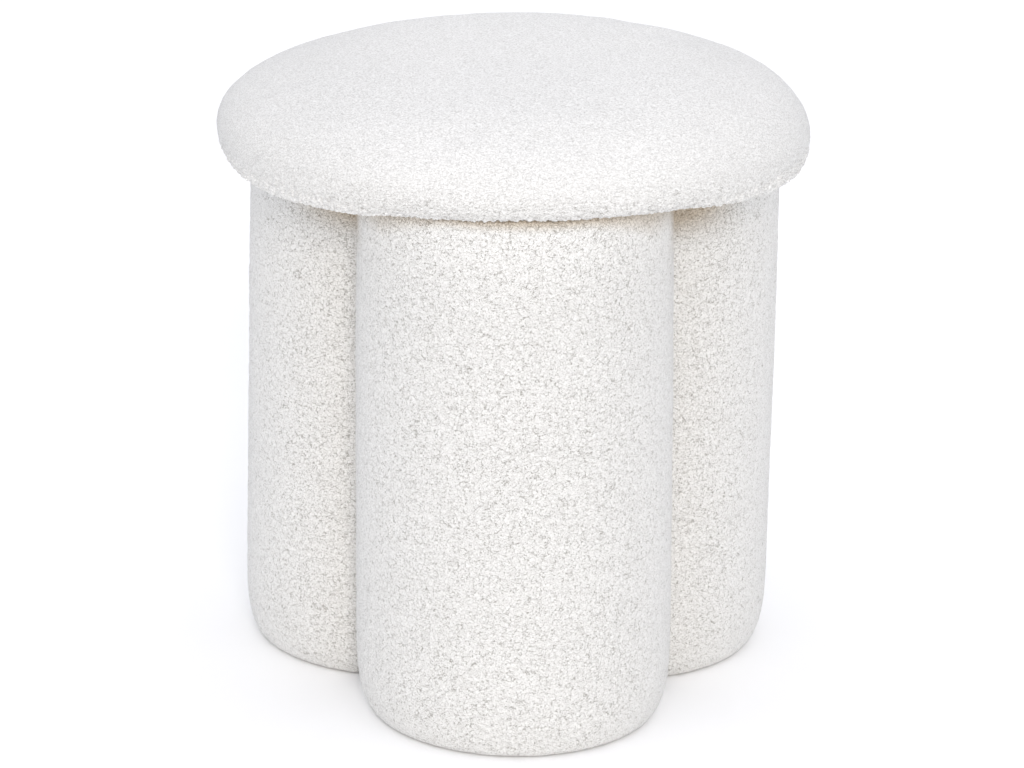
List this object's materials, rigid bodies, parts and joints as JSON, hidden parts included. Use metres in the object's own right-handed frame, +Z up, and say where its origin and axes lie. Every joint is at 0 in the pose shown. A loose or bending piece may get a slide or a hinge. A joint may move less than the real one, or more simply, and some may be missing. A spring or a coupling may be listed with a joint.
{
  "type": "boucle pouf",
  "caption": "Round boucle pouf: a domed seat on fat, round, upholstered legs that touch each other, for sitting on or resting feet.",
  "frame": {"origin": "on the floor, under the middle of the seat", "axes": "+Z up from the floor to the seat, -Y towards the leg that faces the viewer"},
  "size_m": [0.4, 0.4, 0.431],
  "materials": {
    "boucle": "nubby boucle, matte"
  },
  "bodies": {
    "root": {"seat": "boucle", "leg_front": "boucle", "leg_back_left": "boucle", "leg_back_right": "boucle"}
  },
  "joints": []
}
